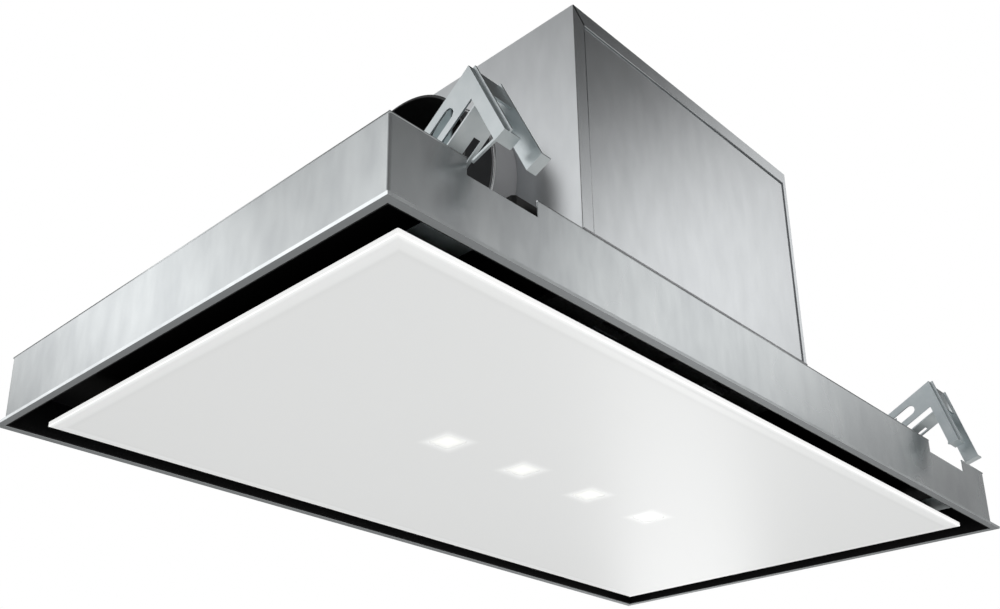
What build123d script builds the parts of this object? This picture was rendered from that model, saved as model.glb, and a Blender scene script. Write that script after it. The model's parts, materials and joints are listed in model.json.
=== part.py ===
"""Flush ceiling range hood.

X runs along the length, Y along the depth and Z up. The origin lies at the middle of the plan,
in the plane of the flange's underside, so the whole hood stands above z = 0.
"""
import os
from math import cos, radians, sin

from build123d import *

# ---------------------------------------------------------------- driving dimensions (mm)
# Tray of galvanised sheet
flange_length = 900.0
flange_width = 500.0
tray_length = 888.0
tray_width = 487.0
tray_height = 65.0
rim_height = 13.5
sheet = 1.0
deck_lip = 8.0
hanger_pitch_x = 700.0
hanger_pitch_y = 160.0
hanger_hole_r = 4.25
deck_hole_r = 86.0
lead_hole_r = 6.0
lead_hole_x = 150.0
lead_hole_y = 150.0

# Flat sides that stand for a round one where nothing turns or mates
large_sides = 32
small_sides = 10

# Clearances
seat_gap = 0.2
body_gap = 0.3
running_gap = 0.05

# Black liner of the recess
liner_gap = 0.5
liner_sheet = 1.0
liner_height = 36.0
standoff_r = 7.0
standoff_inset_x = 53.0
standoff_inset_y = 27.5

# White glass panel and what it carries
glass_gap_x = 29.0
glass_gap_y = 22.5
glass_thickness = 5.0
glass_lift = 0.5
glass_corner = 3.0
bevel_width = 5.0
bevel_depth = 1.0
carrier_inset_x = 20.0
carrier_inset_y = 21.0
carrier_height = 12.0
carrier_sheet = 1.0
carrier_lip = 15.0
light_pitch = 100.0
light_count = 4
lens_side = 25.0
lens_corner = 2.5
lens_recess = 0.3
module_side = 38.0
module_height = 9.0
fin_count = 5
fin_height = 3.0

# Panel hinges and magnetic catches
hinge_inset_x = 95.0
hinge_edge_y = 9.0
hinge_z = 12.0
hinge_pin_r = 3.0
hinge_sheet = 2.0
hinge_ear_r = 6.0
hinge_foot = 16.0
pin_head_r = 5.0
pin_head = 1.5
catch_inset_y = 14.0
catch_length = 40.0
catch_width = 14.0
striker_length = 46.0
striker_overlap = 10.0
striker_sheet = 1.2

# Motor box
box_left = -257.0
box_length = 317.0
box_depth = 330.0
box_height = 215.0
border_top = 12.0
border_left = 13.0
border_right = 5.0
border_bottom = 13.0
box_foot = 14.0
mitre_gap = 0.4

# Outlet spigot and its non-return flaps
spigot_inset_y = 137.0
spigot_rise = 89.5
spigot_r = 75.0
spigot_wall = 2.0
spigot_step = 1.0
spigot_length = 55.0
spigot_flange_r = 82.0
spigot_flange = 2.0
ring_setback = 24.0
ring_width = 3.0
ring_height = 3.0
spindle_setback = 10.0
spindle_r = 2.0
flap_r = 72.0
flap_thickness = 1.2
knuckle_r = 3.4
knuckle_length = 18.0
knuckle_pitch = 48.0

# Fan
fan_offset_y = 65.0
fan_right_gap = 4.0
scroll_lift = 14.0
scroll_height = 146.0
scroll_wall = 1.2
volute_step = 13.0
volute_r = 94.0
tongue_angle = 192.0
scroll_flats = 6
mount_r = 6.0
mount_circle_r = 96.0
impeller_r = 84.0
eye_r = 69.0
impeller_lift = 8.0
impeller_width = 112.0
impeller_plate = 1.5
blade_count = 26
blade_thickness = 0.8
blade_sweep = 9.0
blade_bulge = 3.2
blade_flats = 2
hub_r = 12.0
hub_length = 18.0
inlet_throat_r = 64.0
inlet_flare = 12.0
inlet_wall = 1.2
shaft_r = 4.0
nut_r = 7.0
nut_height = 5.0
bush_r = 8.0
motor_r = 45.0
motor_height = 38.0
motor_cap_r = 30.0
motor_cap = 6.0

# Grease filters
filter_length = 142.0
filter_width = 290.0
filter_height = 8.0
filter_border = 12.0
filter_latch_bar = 26.0
filter_pitch = 150.0
filter_play = 1.0
filter_inset_y = 23.0
mesh_height = 4.0
mesh_slot = 7.0
mesh_pitch = 12.0
tongue_sheet = 1.5
tongue_reach = 6.0
tongue_length = 30.0
latch_length = 30.0
latch_width = 14.0
latch_travel = 5.0
latch_height = 5.0
bolt_length = 16.0
bolt_reach = 5.0
bolt_wall = 4.0

# Fold-out clamps
clamp_lefts = (-375.0, 308.0)
notch_lead = 2.0
notch_widths = (69.0, 82.0)
clamp_sheet = 1.5
clamp_width = 24.0
clamp_tilts = (36.0, 27.0)
arm_skew = 11.0
pivot_inset_y = 55.0
pivot_rise = 28.0
leg_length = 94.0
leg_width = 24.0
leg_corner = 7.0
arm_width = 10.0
arm_length = 74.0
far_arm_length = 90.0
pivot_along = 80.0
pivot_across = 15.0
slot_width = 10.0
slot_start = 28.0
slot_end = 70.0
slot_across = 12.6
lip_x = 4.0
lip_out = 2.5
far_lip_out = 2.0
web_start = 9.0
web_end = 36.0
tab_length = 15.0
far_tab = 7.5
bar_lengths = (23.0, 3.0)
bar_side = 2.0
bar_turn = 17.0
inner_start = 12.0
inner_end = 62.0
inner_across = 30.5
inner_slot_x = 14.0
inner_slot_width = 7.0
inner_slot_start = 34.0
inner_slot_length = 22.0
bolt_r = 3.0
bolt_head_r = 5.5
bolt_head = 3.0
base_x = 4.0
base_width_y = 30.0
base_cheek_r = 9.0
guide_heights = (93.0, 58.0)
guide_fall = 17.0
guide_shoulder = 44.0
guide_slant = 12.0
screw_head_r = 4.2
screw_head = 2.0

# Electrical pieces on the deck
terminal_gap_x = 3.0
terminal_gap_y = 4.5
terminal_length = 66.0
terminal_width = 42.0
terminal_height = 13.0
control_gap_x = 32.0
control_y = -70.0
control_length = 190.0
control_width = 120.0
control_height = 44.0
lid_thickness = 3.0
control_wall = 2.5
gland_r = 10.0
gland_bore_r = 4.5
gland_length = 22.0
gland_nut_r = 13.0
gland_nut = 6.0
gland_z = 24.0
driver_inset_x = 33.0
driver_y = 115.0
driver_length = 110.0
driver_width = 48.0
driver_height = 26.0
driver_ear = 10.0
driver_ear_height = 2.0

# ---------------------------------------------------------------- values worked out from them
deck_top = tray_height - rim_height
deck_bottom = deck_top - sheet
wall_x = tray_length / 2 - sheet
wall_y = tray_width / 2 - sheet
liner_x = wall_x - liner_gap
liner_y = wall_y - liner_gap
liner_under = liner_height - liner_sheet
glass_length = tray_length - 2 * glass_gap_x
glass_width = tray_width - 2 * glass_gap_y
glass_back = glass_lift + glass_thickness
carrier_length = glass_length - 2 * carrier_inset_x
carrier_width = glass_width - 2 * carrier_inset_y
carrier_top = glass_back + carrier_height
standoff_x = wall_x - standoff_inset_x
standoff_y = wall_y - standoff_inset_y
hinge_x = carrier_length / 2 - hinge_inset_x
hinge_y = glass_width / 2 - hinge_edge_y
catch_x = carrier_length / 2 - striker_length / 2
catch_y = liner_y - catch_inset_y
box_right = box_left + box_length
box_front = -wall_y + body_gap
box_back = box_front + box_depth
box_top = deck_top + box_height
spigot_y = box_front + spigot_inset_y
spigot_z = deck_top + spigot_rise
spigot_end = box_left - spigot_length
ring_back = box_left - ring_setback
ring_front = ring_back - ring_width
spindle_x = box_left - spindle_setback
scroll_right_r = volute_r + 2 * volute_step
fan_x = box_right - sheet - fan_right_gap - scroll_wall - scroll_right_r - volute_step / 2
fan_y = spigot_y + fan_offset_y
scroll_bottom = deck_top + scroll_lift
scroll_top = scroll_bottom + scroll_height
impeller_bottom = scroll_bottom + impeller_lift
impeller_top = impeller_bottom + impeller_width
filter_top = liner_height + seat_gap + tongue_sheet
filter_bottom = filter_top - filter_height
filter_x = (box_left + box_right) / 2
filter_y = filter_inset_y - liner_y + filter_width / 2
pivot_y = pivot_inset_y - wall_y
pivot_z = deck_top + pivot_rise
terminal_x = box_left - terminal_gap_x - terminal_length
terminal_y = -wall_y + terminal_gap_y
control_x = box_right + control_gap_x
driver_x = -wall_x + driver_inset_x
light_xs = [(i - (light_count - 1) / 2) * light_pitch for i in range(light_count)]
clamp_kinds = list(zip(clamp_lefts, notch_widths, clamp_tilts, bar_lengths, guide_heights))
clamp_places = [(*kind, turn) for turn in (0, 180) for kind in clamp_kinds]


# ---------------------------------------------------------------- small helpers
def block(x0, x1, y0, y1, z0, z1):
    """A box between two corners."""
    return Pos((x0 + x1) / 2, (y0 + y1) / 2, (z0 + z1) / 2) * Box(x1 - x0, y1 - y0, z1 - z0)


def plate(half_x, half_y, z0, z1):
    """A box round the middle of the plan."""
    return block(-half_x, half_x, -half_y, half_y, z0, z1)


def disc(x, y, z0, z1, r):
    """An upright cylinder."""
    return Pos(x, y, (z0 + z1) / 2) * Cylinder(r, z1 - z0)


def rod_x(x0, x1, y, z, r):
    """A cylinder along X."""
    return Pos((x0 + x1) / 2, y, z) * Rot(0, 90, 0) * Cylinder(r, x1 - x0)


def flat_disc(x, y, z0, z1, r, sides):
    """An upright disc with flat sides, r to its corners."""
    return Pos(x, y, z0) * extrude(RegularPolygon(r, sides), z1 - z0)


def flat_rod_x(x0, x1, y, z, r, sides):
    """A rod along X with flat sides, r to its corners."""
    return Pos(x0, y, z) * extrude(Plane.YZ * RegularPolygon(r, sides), x1 - x0)


def group(pieces):
    """Separate solids kept in one node."""
    return Compound(children=list(pieces))


# ---------------------------------------------------------------- tray, deck and liner
def notch_cutters():
    """The four gaps in the rim that the clamps swing through."""
    cutters = []
    for left, width, _, _, _, turn in clamp_places:
        start = left - notch_lead
        gap = block(start, start + width, -tray_width / 2 - sheet, -wall_y + sheet,
                    deck_top, tray_height + sheet)
        cutters.append(Rot(0, 0, turn) * gap)
    return cutters


def tray_shell():
    """Walls and ceiling flange, folded from one sheet."""
    shell = plate(tray_length / 2, tray_width / 2, 0, tray_height)
    shell += plate(flange_length / 2, flange_width / 2, 0, sheet)
    shell -= plate(wall_x, wall_y, -sheet, tray_height + sheet)
    for cutter in notch_cutters():
        shell -= cutter
    return shell


def tray_deck():
    """Sheet top inside the walls, its lip turned down against them."""
    x, y = wall_x - seat_gap, wall_y - seat_gap
    deck = plate(x, y, deck_top - deck_lip, deck_top)
    deck -= plate(x - sheet, y - sheet, deck_top - 2 * deck_lip, deck_bottom)
    low, high = deck_bottom - sheet, deck_top + sheet
    deck -= flat_disc(fan_x, fan_y, low, high, deck_hole_r, large_sides)
    deck -= flat_disc(lead_hole_x, lead_hole_y, low, high, lead_hole_r, small_sides)
    for place in GridLocations(hanger_pitch_x, hanger_pitch_y, 2, 2):
        deck -= place * disc(0, 0, low, high, hanger_hole_r)
    return deck


def filter_centres():
    """X places of the two grease filters."""
    return [filter_x - filter_pitch / 2, filter_x + filter_pitch / 2]


def inner_liner():
    """Black recess behind the panel, with an opening for each filter."""
    x, y = liner_x - liner_sheet, liner_y - liner_sheet
    liner = plate(liner_x, liner_y, glass_lift, liner_height)
    liner -= plate(x, y, -sheet, liner_under)
    half_x = filter_length / 2 + filter_play
    half_y = filter_width / 2 + filter_play
    for centre in filter_centres():
        liner -= block(centre - half_x, centre + half_x, filter_y - half_y, filter_y + half_y,
                       liner_under - sheet, liner_height + sheet)
    return liner


def liner_standoffs():
    """Spacers between liner and deck."""
    posts = []
    for i in (-1, 0, 1):
        for side in (-1, 1):
            if i == 0 and side == -1:
                continue
            posts.append(flat_disc(i * standoff_x, side * standoff_y,
                                   liner_height, deck_bottom, standoff_r, 6))
    return group(posts)


# ---------------------------------------------------------------- panel
def clipped(length, width, corner):
    """A rectangle with clipped corners round the middle of the plan."""
    outline = Rectangle(length, width)
    return chamfer(outline.vertices(), corner)


def clipped_plate(length, width, corner, z0, z1):
    """A plate with clipped corners round the middle of the plan."""
    return Pos(0, 0, z0) * extrude(clipped(length, width, corner), z1 - z0)


def lens_shape(side, corner, z0, z1):
    """The four clipped squares of the lights, as separate solids."""
    return [Pos(x, 0, 0) * clipped_plate(side, side, corner, z0, z1) for x in light_xs]


def glass_panel():
    """White glass with a bevelled margin and a hole for each light."""
    shoulder = glass_lift + bevel_depth
    glass = clipped_plate(glass_length, glass_width, glass_corner, shoulder, glass_back)
    face = clipped(glass_length - 2 * bevel_width, glass_width - 2 * bevel_width,
                   glass_corner)
    edge = clipped(glass_length, glass_width, glass_corner)
    glass += loft([Pos(0, 0, glass_lift) * face, Pos(0, 0, shoulder) * edge])
    for hole in lens_shape(lens_side + 2 * seat_gap, lens_corner,
                           glass_lift - sheet, glass_back + sheet):
        glass -= hole
    return glass


def panel_carrier():
    """Folded pan glued to the glass, open downwards inside its lip."""
    x, y = carrier_length / 2, carrier_width / 2
    pan = plate(x, y, glass_back, carrier_top)
    pan -= plate(x - carrier_sheet, y - carrier_sheet,
                 glass_back + carrier_sheet, carrier_top - carrier_sheet)
    pan -= plate(x - carrier_lip, y - carrier_lip, glass_back - sheet, glass_back + 2 * sheet)
    ears = [pan]
    for side in (-1, 1):
        near = side * (hinge_x + hinge_sheet / 2 + body_gap)
        far = near + side * hinge_sheet
        tongue = block(min(near, far), max(near, far), y, hinge_y + hinge_ear_r,
                       hinge_z - hinge_ear_r, carrier_top)
        hole = rod_x(min(near, far) - 1, max(near, far) + 1, hinge_y, hinge_z,
                     hinge_pin_r + running_gap)
        ears.append(tongue - hole)
    return ears[0] + ears[1] + ears[2]


def light_lenses():
    """Frosted lenses, set just inside the glass."""
    return group(lens_shape(lens_side, lens_corner, glass_lift + lens_recess, glass_back))


def light_modules():
    """Light housings on the back of the glass, each with cooling fins."""
    modules = []
    for x in light_xs:
        half = module_side / 2
        body = block(x - half, x + half, -half, half, glass_back, glass_back + module_height)
        pitch = module_side / fin_count
        for i in range(fin_count - 1):
            mid = x + (i + 1 - fin_count / 2) * pitch
            body -= block(mid - pitch / 4, mid + pitch / 4, -module_side, module_side,
                          glass_back + module_height - fin_height, carrier_top)
        modules.append(body)
    return group(modules)


def hinge_pins():
    """Headed pins in the carrier's ears."""
    pins = []
    for side in (-1, 1):
        inner = side * (hinge_x - hinge_sheet / 2 - 1)
        face = side * (hinge_x + 1.5 * hinge_sheet + body_gap)
        outer = face + side * pin_head
        pin = rod_x(min(inner, face), max(inner, face), hinge_y, hinge_z, hinge_pin_r)
        head = flat_rod_x(min(face, outer), max(face, outer), hinge_y, hinge_z,
                          pin_head_r, small_sides)
        pins.append(pin + head)
    return group(pins)


def hinge_brackets():
    """Ears that hang from the liner and hold the pins."""
    brackets = []
    for side in (-1, 1):
        x0 = side * hinge_x - hinge_sheet / 2
        x1 = side * hinge_x + hinge_sheet / 2
        ear = block(x0, x1, hinge_y - hinge_ear_r, hinge_y + hinge_ear_r,
                    hinge_z - hinge_ear_r, liner_under)
        ear = chamfer(ear.edges().filter_by(Axis.X).group_by(Axis.Z)[0], hinge_ear_r * 2 / 3)
        inner = side * (hinge_x - hinge_foot)
        ear += block(min(x0, inner), max(x1, inner), hinge_y - hinge_ear_r,
                     hinge_y + hinge_ear_r, liner_under - hinge_sheet, liner_under)
        ear -= rod_x(x0 - 1, x1 + 1, hinge_y, hinge_z, hinge_pin_r + running_gap)
        brackets.append(ear)
    return group(brackets)


def catch_magnets():
    """Magnet blocks under the liner, above the panel's catch plates."""
    bottom = carrier_top + striker_sheet + body_gap
    blocks = []
    for side in (-1, 1):
        x = side * catch_x
        blocks.append(block(x - catch_length / 2, x + catch_length / 2,
                            -catch_y - catch_width / 2, -catch_y + catch_width / 2,
                            bottom, liner_under))
    return group(blocks)


def catch_plates():
    """Steel plates on the carrier that the magnets hold."""
    plates = []
    for side in (-1, 1):
        x = side * catch_x
        plates.append(block(x - striker_length / 2, x + striker_length / 2,
                            -catch_y - catch_width / 2, striker_overlap - carrier_width / 2,
                            carrier_top, carrier_top + striker_sheet))
    return group(plates)


# ---------------------------------------------------------------- motor box
def motor_box():
    """Folded box with a bordered front, open below, standing on turned-out feet."""
    box = block(box_left, box_right, box_front, box_back, deck_top, box_top)
    box -= block(box_left + sheet, box_right - sheet, box_front + sheet, box_back - sheet,
                 deck_top - sheet, box_top - sheet)
    box -= block(box_left + border_left, box_right - border_right, box_front - sheet,
                 box_front + 2 * sheet, deck_top + border_bottom, box_top - border_top)
    box -= rod_x(box_left - sheet, box_left + 2 * sheet, spigot_y, spigot_z,
                 spigot_r + spigot_step + body_gap)
    slit = Pos(box_left + border_left / 2, box_front, box_top - border_top / 2)
    slope = Vector(border_left, 0, -border_top)
    box -= slit * Rot(0, slope.get_angle(Vector(1, 0, 0)), 0) * Box(
        slope.length + mitre_gap, 2 * sheet, mitre_gap)
    foot_front = box_front + box_foot
    box += block(box_right, box_right + box_foot, foot_front, box_back,
                 deck_top, deck_top + sheet)
    box += block(box_left, box_right, box_back, box_back + box_foot, deck_top, deck_top + sheet)
    return box


def box_cover():
    """Front plate held behind the border."""
    return block(box_left + sheet + seat_gap, box_right - sheet - seat_gap,
                 box_front + sheet, box_front + 2 * sheet,
                 deck_top + seat_gap, box_top - sheet - seat_gap)


def box_screws():
    """Hexagon screws through the feet of the motor box."""
    spots = []
    for i in range(4):
        share = (i + 0.5) / 4
        y = box_front + box_foot + share * (box_depth - box_foot)
        spots.append((box_right + box_foot / 2, y))
        spots.append((box_left + share * box_length, box_back + box_foot / 2))
    top = deck_top + sheet
    return group(flat_disc(x, y, top, top + screw_head, screw_head_r, 6) for x, y in spots)


# ---------------------------------------------------------------- outlet
def outlet_spigot():
    """Round collar, thicker behind the duct's seat, its flange inside the box wall."""
    back = box_left + sheet
    collar = rod_x(spigot_end, ring_front, spigot_y, spigot_z, spigot_r)
    collar += rod_x(ring_front, back + spigot_flange, spigot_y, spigot_z, spigot_r + spigot_step)
    collar += flat_rod_x(back, back + spigot_flange, spigot_y, spigot_z,
                         spigot_flange_r, large_sides)
    collar -= rod_x(spigot_end - 1, back + spigot_flange + 1, spigot_y, spigot_z,
                    spigot_r - spigot_wall)
    return collar


def stop_ring():
    """Steel ring on the collar's step that stops the duct."""
    ring = flat_rod_x(ring_front, ring_back, spigot_y, spigot_z, spigot_r + ring_height,
                      large_sides)
    return ring - rod_x(ring_front - 1, ring_back + 1, spigot_y, spigot_z,
                        spigot_r + spigot_step + running_gap)


def damper_spindle():
    """Upright rod across the bore that the flaps turn on."""
    half = spigot_r - spigot_wall - seat_gap
    return disc(spindle_x, spigot_y, spigot_z - half, spigot_z + half, spindle_r)


def damper_flap(side):
    """Half disc with two knuckles round the spindle; side is -1 towards -Y."""
    blade = flat_rod_x(-flap_thickness / 2, flap_thickness / 2, 0, 0, flap_r, large_sides)
    inner = spindle_r + body_gap
    blade -= Pos(0, -side * (flap_r / 2 - inner / 2), 0) * Box(
        4 * flap_thickness, flap_r + inner, 3 * flap_r)
    for i in (0, 1):
        z = side * (knuckle_length / 2 + body_gap) + (i - 0.5) * knuckle_pitch
        blade += flat_disc(0, 0, z - knuckle_length / 2, z + knuckle_length / 2,
                           knuckle_r, small_sides)
    blade -= Cylinder(spindle_r + running_gap, 3 * flap_r)
    for i in (0, 1):
        z = -side * (knuckle_length / 2 + body_gap) + (i - 0.5) * knuckle_pitch
        room = knuckle_length / 2 + body_gap
        blade -= flat_disc(0, 0, z - room, z + room, knuckle_r + body_gap, small_sides)
    return Pos(spindle_x, spigot_y, spigot_z) * blade


# ---------------------------------------------------------------- fan
def volute_face():
    """Inside outline of the scroll: growing arcs of flats, the tongue and the outlet."""
    step = volute_step
    mouth_x = box_left + sheet + spigot_flange + seat_gap
    first = (fan_x - step / 2, fan_y + step / 2)
    radii = [volute_r + i * step for i in range(4)]
    centres = [first, (fan_x + step / 2, fan_y + step / 2),
               (fan_x + step / 2, fan_y - step / 2), (fan_x - step / 2, fan_y - step / 2)]
    tongue = (first[0] + radii[0] * cos(radians(tongue_angle)),
              first[1] + radii[0] * sin(radians(tongue_angle)))
    outline = [(mouth_x, tongue[1]), tongue]
    spans = [(tongue_angle, 180.0), (180.0, 90.0), (90.0, 0.0), (0.0, -90.0)]
    for (x, y), r, (a0, a1) in zip(centres, radii, spans):
        for i in range(scroll_flats):
            turn = radians(a0 + (a1 - a0) * (i + 1) / scroll_flats)
            outline.append((x + r * cos(turn), y + r * sin(turn)))
    outline.append((mouth_x, centres[3][1] - radii[3]))
    return Polygon(*reversed(outline), align=None)


def fan_scroll():
    """Sheet scroll with an inlet hole below and a motor hole above."""
    inside = volute_face()
    outside = offset(inside, scroll_wall)
    scroll = Pos(0, 0, scroll_bottom) * extrude(outside, scroll_height)
    scroll -= Pos(0, 0, scroll_bottom + scroll_wall) * extrude(
        inside, scroll_height - 2 * scroll_wall)
    mouth_x = box_left + sheet + spigot_flange + seat_gap
    scroll -= block(mouth_x - 2 * scroll_wall, mouth_x, fan_y - 2 * impeller_r, fan_y,
                    scroll_bottom - 1, scroll_top + 1)
    scroll -= flat_disc(fan_x, fan_y, scroll_bottom - 1, scroll_bottom + 2 * scroll_wall,
                        inlet_throat_r + inlet_wall + seat_gap, large_sides)
    scroll -= flat_disc(fan_x, fan_y, scroll_top - 2 * scroll_wall, scroll_top + 1,
                        bush_r + seat_gap, small_sides)
    return scroll


def fan_mounts():
    """Rubber feet between scroll and deck."""
    places = PolarLocations(mount_circle_r, 4, start_angle=45)
    return group(Pos(fan_x, fan_y, 0) * Pos(*p.position)
                 * flat_disc(0, 0, deck_top, scroll_bottom, mount_r, 6) for p in places)


def inlet_ring():
    """Bell mouth that leads the air into the eye of the impeller."""
    r = inlet_throat_r
    top = impeller_bottom + impeller_plate
    low = scroll_bottom - inlet_flare
    inner = RegularPolygon(r, large_sides)
    outer = RegularPolygon(r + inlet_wall, large_sides)
    ring = Pos(0, 0, scroll_bottom) * extrude(outer - inner, top - scroll_bottom)
    wide = RegularPolygon(r + inlet_flare + inlet_wall, large_sides)
    flare = Pos(0, 0, low) * extrude(wide, inlet_flare, taper=45)
    flare -= Pos(0, 0, low) * extrude(RegularPolygon(r + inlet_flare, large_sides),
                                      inlet_flare, taper=45)
    lip = flat_disc(0, 0, scroll_bottom - inlet_wall, scroll_bottom, r + inlet_flare,
                    large_sides)
    lip -= flat_disc(0, 0, low, scroll_bottom + 1, r + inlet_wall, large_sides)
    return Pos(fan_x, fan_y, 0) * (ring + flare + lip)


def blade_face():
    """One forward-curved blade between the eye and the rim, bent from flats."""
    lean = radians(blade_sweep)
    start = Vector(eye_r + 1, 0)
    end = Vector(impeller_r - 1, 0).rotate(Axis.Z, -blade_sweep)
    out = Vector(sin(lean), cos(lean)) * blade_bulge
    thick = Vector(0, blade_thickness)
    line = []
    for i in range(blade_flats + 1):
        along = i / blade_flats
        line.append(start + (end - start) * along + out * 4 * along * (1 - along))
    back = [p + thick for p in reversed(line)]
    return Polygon(*[(p.X, p.Y) for p in line + back], align=None)


def impeller():
    """Open ring below, closed plate with a hub above, curved blades between them."""
    low, high = impeller_bottom + impeller_plate, impeller_top - impeller_plate
    wheel = flat_disc(0, 0, impeller_bottom, low, impeller_r, large_sides)
    wheel -= flat_disc(0, 0, impeller_bottom - 1, low + 1, eye_r, large_sides)
    wheel += flat_disc(0, 0, high, impeller_top, impeller_r, large_sides)
    wheel += flat_disc(0, 0, impeller_top - hub_length, impeller_top, hub_r, small_sides)
    blade = Pos(0, 0, impeller_bottom) * extrude(blade_face(), impeller_width)
    wheel += [place * blade for place in PolarLocations(0, blade_count)]
    wheel -= disc(0, 0, impeller_bottom, impeller_top + 1, shaft_r + running_gap)
    return Pos(fan_x, fan_y, 0) * wheel


def fan_shaft():
    """Motor shaft down to the hub's nut."""
    low = impeller_top - hub_length - nut_height
    return disc(fan_x, fan_y, low, scroll_top, shaft_r)


def impeller_nut():
    """Hexagon nut under the hub."""
    low = impeller_top - hub_length - nut_height
    nut = Pos(fan_x, fan_y, low) * extrude(RegularPolygon(nut_r, 6), nut_height)
    return nut - disc(fan_x, fan_y, low - 1, low + nut_height + 1, shaft_r + running_gap)


def shaft_bush():
    """Bearing bush in the top of the scroll."""
    low = scroll_top - 3 * scroll_wall
    bush = flat_disc(fan_x, fan_y, low, scroll_top, bush_r, small_sides)
    return bush - disc(fan_x, fan_y, low - 1, scroll_top + 1, shaft_r + running_gap)


def fan_motor():
    """Motor on top of the scroll, with a cap above its flange and body."""
    low = scroll_top + body_gap
    high = low + motor_height
    motor = flat_disc(fan_x, fan_y, low, high, motor_r, large_sides)
    return motor + flat_disc(fan_x, fan_y, high, high + motor_cap, motor_cap_r, large_sides)


# ---------------------------------------------------------------- grease filters
def filter_frame(centre):
    """Frame with two tongues at the back and a latch pocket at the front."""
    x0, x1 = centre - filter_length / 2, centre + filter_length / 2
    y0, y1 = filter_y - filter_width / 2, filter_y + filter_width / 2
    frame = block(x0, x1, y0, y1, filter_bottom, filter_top)
    frame -= block(x0 + filter_border, x1 - filter_border, y0 + filter_latch_bar,
                   y1 - filter_border, filter_bottom - 1, filter_top + 1)
    for side in (-1, 1):
        mid = centre + side * filter_length / 4
        frame += block(mid - tongue_length / 2, mid + tongue_length / 2, y1 - 1,
                       y1 + filter_play + tongue_reach, filter_top - tongue_sheet, filter_top)
    half = latch_length / 2 + body_gap
    frame -= block(centre - half, centre + half, y0 + bolt_wall,
                   y0 + bolt_wall + latch_width + latch_travel + 2 * body_gap,
                   filter_bottom - 1, filter_top + 1)
    half = bolt_length / 2 + body_gap
    frame -= block(centre - half, centre + half, y0 - 1, y0 + bolt_wall + 1,
                   filter_top - tongue_sheet - body_gap, filter_top + 1)
    return frame


def filter_mesh(centre):
    """Slotted filter pack inside the frame."""
    half_x = filter_length / 2 - filter_border
    y0 = filter_y - filter_width / 2 + filter_latch_bar
    y1 = filter_y + filter_width / 2 - filter_border
    low = filter_bottom + (filter_height - mesh_height) / 2
    pack = block(centre - half_x, centre + half_x, y0, y1, low, low + mesh_height)
    count = int((y1 - y0) // mesh_pitch) - 1
    start = (y0 + y1) / 2 - (count - 1) / 2 * mesh_pitch
    for i in range(count):
        y = start + i * mesh_pitch
        pack -= block(centre - half_x + mesh_slot, centre + half_x - mesh_slot,
                      y - mesh_slot / 2, y + mesh_slot / 2, low - 1, low + mesh_height + 1)
    return pack


def filter_latch(centre):
    """Finger slider with a thin bolt that rests on the liner."""
    y0 = filter_y - filter_width / 2
    front = y0 + bolt_wall + body_gap
    low = filter_top - latch_height
    latch = block(centre - latch_length / 2, centre + latch_length / 2,
                  front, front + latch_width, low, filter_top)
    latch -= block(centre - latch_length / 3, centre + latch_length / 3,
                   front + latch_width / 4, front + latch_width * 3 / 4,
                   low - 1, low + latch_height / 2)
    latch += block(centre - bolt_length / 2, centre + bolt_length / 2,
                   y0 - filter_play - bolt_reach, front + 1,
                   filter_top - tongue_sheet, filter_top)
    return latch


# ---------------------------------------------------------------- clamps
def arm_point(inward, down):
    """Y and Z of a point of the arm, measured from the apex at the origin."""
    lean, slope = sin(radians(arm_skew)), cos(radians(arm_skew))
    return inward * slope + down * lean, inward * lean - down * slope


def on_arm(piece):
    """Leans a piece drawn upright to the slope of the arm."""
    return Rot(arm_skew, 0, 0) * piece


def cheek():
    """Cheek with its leg along Y and its arm downwards from the apex at the origin."""
    lean, slope = sin(radians(arm_skew)), cos(radians(arm_skew))
    inner_down = (leg_width + arm_width * lean) / slope
    outline = [(0, 0), arm_point(0, arm_length), arm_point(arm_width, arm_length),
               arm_point(arm_width, inner_down), (leg_length - leg_corner, -leg_width),
               (leg_length, leg_corner - leg_width), (leg_length, -leg_corner),
               (leg_length - leg_corner, 0)]
    leg = extrude(Plane.YZ * Polygon(*outline, align=None), clamp_sheet)
    round_r = slot_width / 2
    leg -= block(-1, clamp_sheet + 1, slot_start + round_r, slot_end - round_r,
                 -slot_across - round_r, -slot_across + round_r)
    for along in (slot_start + round_r, slot_end - round_r):
        leg -= flat_rod_x(-1, clamp_sheet + 1, along, -slot_across, round_r, small_sides)
    return leg - rod_x(-1, clamp_sheet + 1, pivot_along, -pivot_across, bolt_r + running_gap)


def clamp_arm():
    """Stepped outer side of the arm, its far cheek and the tabs at the lower ends."""
    far = clamp_width - clamp_sheet
    arm = block(0, lip_x + clamp_sheet, 0, clamp_sheet, -arm_length, 0)
    arm += block(lip_x, lip_x + clamp_sheet, -lip_out, clamp_sheet, -arm_length, 0)
    arm += block(lip_x, clamp_width, -lip_out, clamp_sheet - lip_out, -web_end, -web_start)
    arm += block(far, clamp_width, -lip_out - far_lip_out, arm_width, -far_arm_length, -web_start)
    arm += block(0, tab_length, 0, arm_width, -arm_length, clamp_sheet - arm_length)
    arm += block(far, clamp_width + far_tab, -lip_out - far_lip_out, arm_width, -far_arm_length,
                 clamp_sheet - far_arm_length)
    return on_arm(arm)


def clamp_shape(bar_length):
    """Folded clamp with its slotted inner plate and the bar at the arm's end."""
    shape = cheek() + clamp_arm()
    plate = block(0, clamp_width, inner_start, inner_end, -inner_across - clamp_sheet,
                  -inner_across)
    plate -= block(inner_slot_x, inner_slot_x + inner_slot_width, inner_slot_start,
                   inner_slot_start + inner_slot_length, -inner_across - 2 * clamp_sheet,
                   -inner_across + clamp_sheet)
    y, z = arm_point(arm_width - bar_side, arm_length)
    bar = block(0, bar_side, 0, bar_length, 0, bar_side)
    return shape + plate + Pos(0, y, z) * Rot(bar_turn, 0, 0) * bar


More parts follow.
